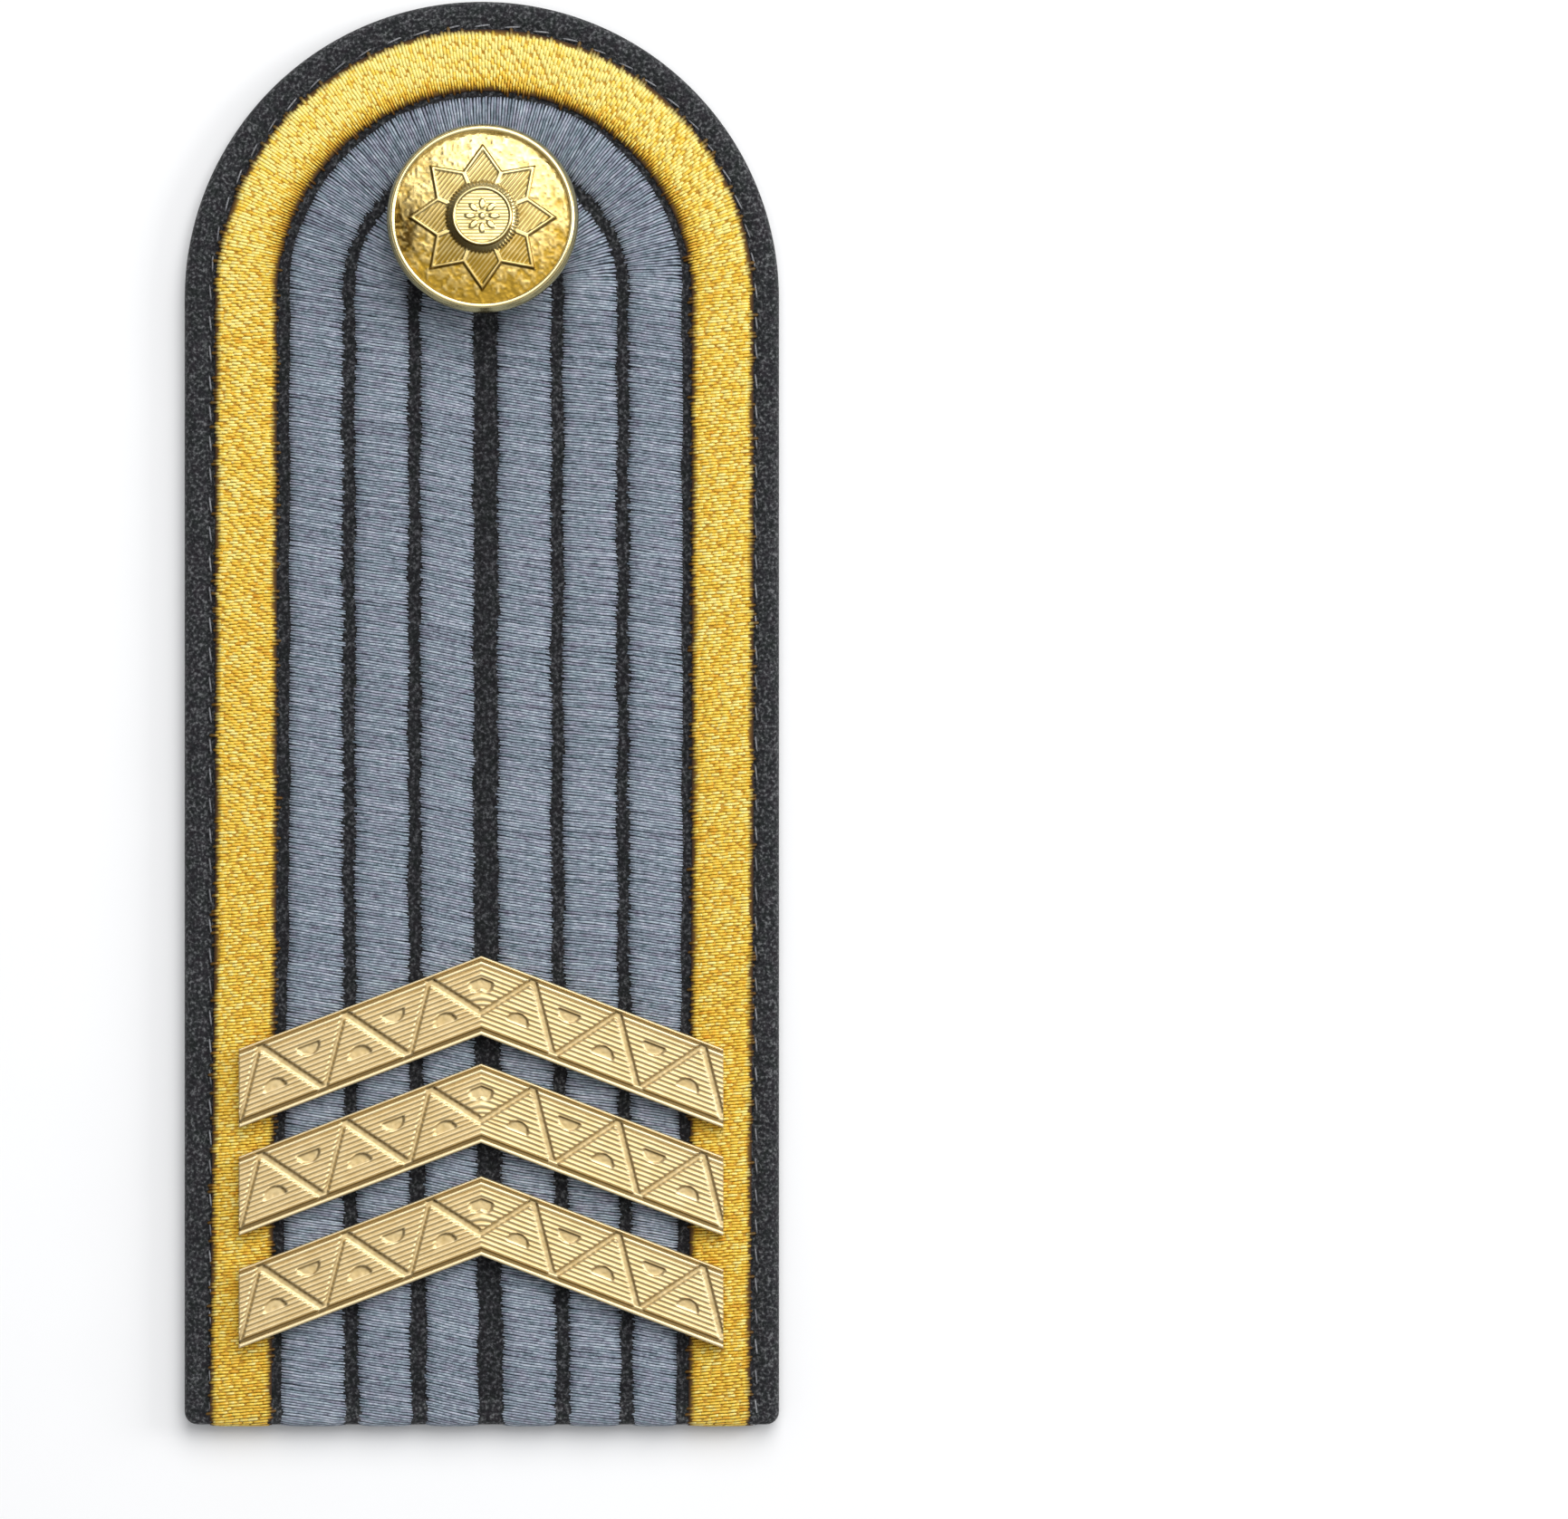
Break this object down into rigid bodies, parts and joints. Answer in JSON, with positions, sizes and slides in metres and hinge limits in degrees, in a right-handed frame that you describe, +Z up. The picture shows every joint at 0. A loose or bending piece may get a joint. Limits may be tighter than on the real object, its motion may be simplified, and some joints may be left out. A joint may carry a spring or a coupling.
{
  "type": "dress shoulder board",
  "caption": "Stiff cloth-covered shoulder board with a full round top, an embroidered gold border round blue-grey thread columns, stamped chevrons and a shank button.",
  "frame": {"origin": "under the middle of the board, on the surface that it lies on", "axes": "+Y towards the round top, +X to the right seen from the embroidered face, +Z up out of that face"},
  "size_m": [0.055, 0.132, 0.008],
  "materials": {
    "cloth": "near-black wool serge over a stiff board, with a lighter nap",
    "gold_thread": "bright yellow-gold embroidery thread in short stitches",
    "blue_thread": "blue-grey satin stitch, silky along the thread",
    "chevron_metal": "pale gold plated stamping, satin with bright ridges",
    "button_metal": "bright gold plated, pebbled ground and polished rims"
  },
  "bodies": {
    "root": {"board": "cloth", "gold_border": "gold_thread", "outer_column": "blue_thread", "middle_column": "blue_thread", "inner_column": "blue_thread", "chevron_upper": "chevron_metal", "chevron_middle": "chevron_metal", "chevron_lower": "chevron_metal", "button_face": "button_metal", "button_back": "button_metal"}
  },
  "joints": []
}
